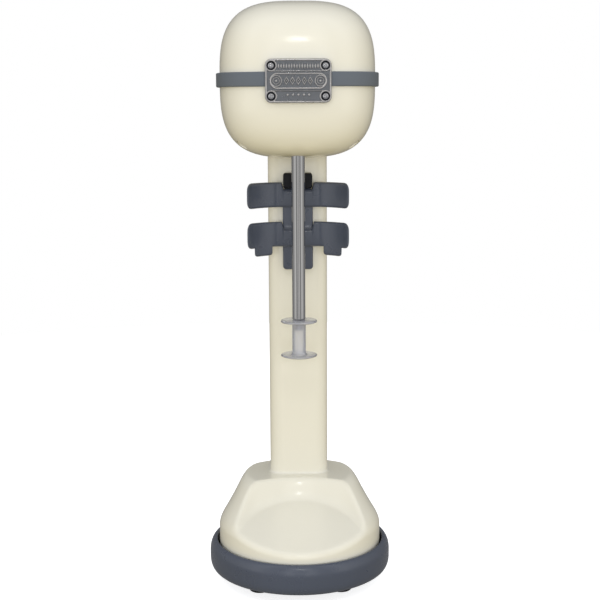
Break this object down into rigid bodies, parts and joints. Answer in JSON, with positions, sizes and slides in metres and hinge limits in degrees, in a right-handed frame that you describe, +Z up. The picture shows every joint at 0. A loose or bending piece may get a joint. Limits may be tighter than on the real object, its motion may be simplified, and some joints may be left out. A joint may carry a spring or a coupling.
{
  "type": "single-spindle drink mixer",
  "caption": "Retro cream drink mixer: motor head on a column, steel spindle with a two-disc agitator, slate cup holder and round base.",
  "frame": {"origin": "centre of the round base at the height of the surface that the feet stand on", "axes": "+Z up along the spindle, -Y towards the front (spindle and nameplate side), +X to the right seen from the front"},
  "size_m": [0.159, 0.159, 0.4999],
  "materials": {
    "cream_paint": "gloss",
    "slate_paint": "satin",
    "band_plastic": "satin",
    "rubber": "matte",
    "black_plastic": "matte",
    "red_plastic": "gloss",
    "yellow_plastic": "gloss",
    "nylon": "matte",
    "clear_plastic": "gloss",
    "steel": "satin",
    "polished_steel": "polished",
    "pewter": "satin",
    "cast_iron": "matte",
    "lamination": "matte",
    "aluminium": "satin",
    "brass": "satin",
    "copper": "satin",
    "carbon": "matte",
    "lead_grey": "matte",
    "lead_brown": "matte"
  },
  "bodies": {
    "frame": {"rubber_feet": "rubber", "foot_screws": "steel", "base_tray": "slate_paint", "ballast": "cast_iron", "base_cover": "cream_paint", "column_mount_plate": "steel", "spacer_tubes": "steel", "column_tie_bolts": "steel", "cord_gland": "rubber", "terminal_block": "nylon", "suppressor_capacitor": "yellow_plastic", "column": "cream_paint", "rear_panel": "cream_paint", "panel_screws": "steel", "rocker_housing": "black_plastic", "neck_plate": "steel", "neck_screws": "steel", "cup_holder": "slate_paint", "holder_screws": "steel", "microswitch_body": "black_plastic", "microswitch_bracket": "steel", "microswitch_screws": "steel", "bracket_screws": "steel", "motor_housing": "cream_paint", "motor_cover": "cream_paint", "cover_screws": "steel", "trim_band": "band_plastic", "nameplate": "pewter", "nameplate_screws": "pewter", "spindle_bushing": "brass", "motor_mount_grommets": "rubber", "motor_mount_screws": "steel", "lower_end_frame": "aluminium", "upper_end_frame": "aluminium", "motor_through_bolts": "steel", "lower_bearing": "polished_steel", "upper_bearing": "polished_steel", "stator_core": "lamination", "stator_coils": "copper", "brush_holders": "nylon", "brush_springs": "steel", "carbon_brushes": "carbon", "mains_leads": "lead_grey", "motor_leads": "lead_brown"},
    "rotor": {"armature_core": "lamination", "armature_windings": "copper", "commutator": "copper", "cooling_fan": "nylon", "motor_shaft": "polished_steel", "spindle_coupling": "brass", "spindle": "polished_steel", "agitator": "clear_plastic"},
    "pad": {"switch_pad": "black_plastic", "pad_clip": "steel"},
    "lever": {"microswitch_lever": "steel"},
    "button": {"microswitch_button": "red_plastic"},
    "rocker": {"speed_rocker": "black_plastic"}
  },
  "joints": [
    {"name": "spindle_spin", "type": "hinge", "parent": "frame", "child": "rotor", "pos_m": [0, -0.032, 0.3], "axis": [0, 0, 1], "continuous": true},
    {"name": "pad_slide", "type": "slide", "parent": "frame", "child": "pad", "axis": [0, 1, 0], "range_m": [0, 0.004], "stiffness_N_per_m": 300, "springref_m": -0.002},
    {"name": "lever_swing", "type": "hinge", "parent": "frame", "child": "lever", "pos_m": [0, 0.035, 0.34], "axis": [-1, 0, 0], "range_deg": [0, 16.04]},
    {"name": "button_press", "type": "slide", "parent": "frame", "child": "button", "axis": [0, 1, 0], "range_m": [0, 0.0012]},
    {"name": "rocker_tilt", "type": "hinge", "parent": "frame", "child": "rocker", "pos_m": [0, 0.06, 0.312], "axis": [1, 0, 0], "range_deg": [-12, 12]}
  ],
  "couplings": [
    {"joint": "lever_swing", "follows": "pad_slide", "rad_per_m": 70},
    {"joint": "button_press", "follows": "pad_slide", "ratio": 0.3}
  ]
}
